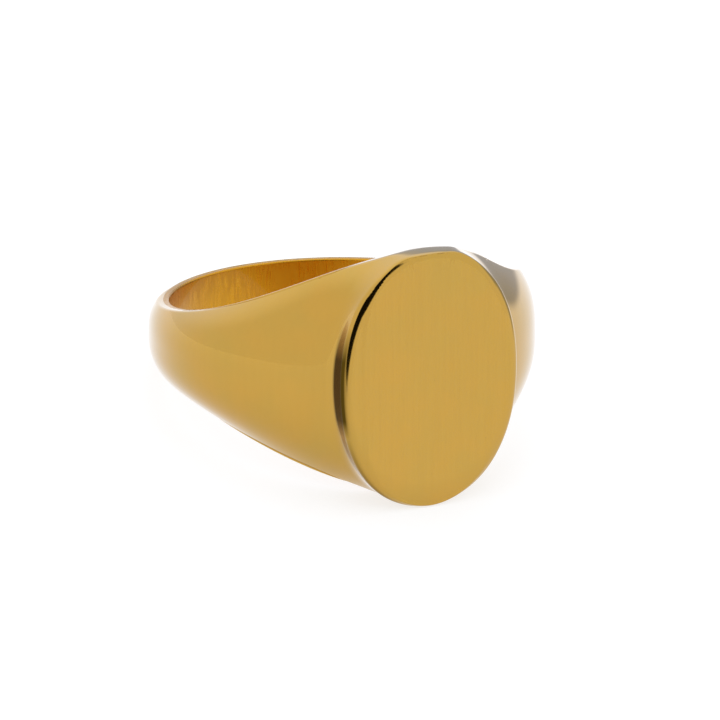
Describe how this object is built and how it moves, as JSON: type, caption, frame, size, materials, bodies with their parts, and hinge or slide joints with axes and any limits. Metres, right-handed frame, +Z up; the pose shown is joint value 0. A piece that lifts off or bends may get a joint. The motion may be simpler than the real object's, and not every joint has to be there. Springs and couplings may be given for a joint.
{
  "type": "signet ring",
  "caption": "Gold signet ring with a plain oval table, a raised head wall and shoulders that taper to a narrow crowned band.",
  "frame": {"origin": "on the surface that the ring lies on, below the middle of its overall box", "axes": "+Z up; +X to the wearer's right across the oval table; the table faces -Y and leans back by the rest tilt, because the ring lies on its side on the lower rims of its head and of the back of its band; the finger hole runs along +Z leaned towards +Y by the same tilt"},
  "size_m": [0.0224, 0.0238, 0.0147],
  "materials": {
    "gold": "high polish yellow gold, with fine handling scratches and softened edges",
    "table": "flat polished yellow gold, faintly satin from wear, plain and unengraved",
    "lining": "polished yellow gold inside the band, with fine lengthwise wear",
    "solder": "gold solder filed flush and polished"
  },
  "bodies": {
    "root": {"face_plate": "table", "face_solder": "solder", "head_collar": "gold", "left_head_solder": "solder", "right_head_solder": "solder", "left_shoulder": "gold", "right_shoulder": "gold", "left_shank_solder": "solder", "right_shank_solder": "solder", "shank": "gold", "sleeve_solder": "solder", "inner_sleeve": "lining"}
  },
  "joints": []
}
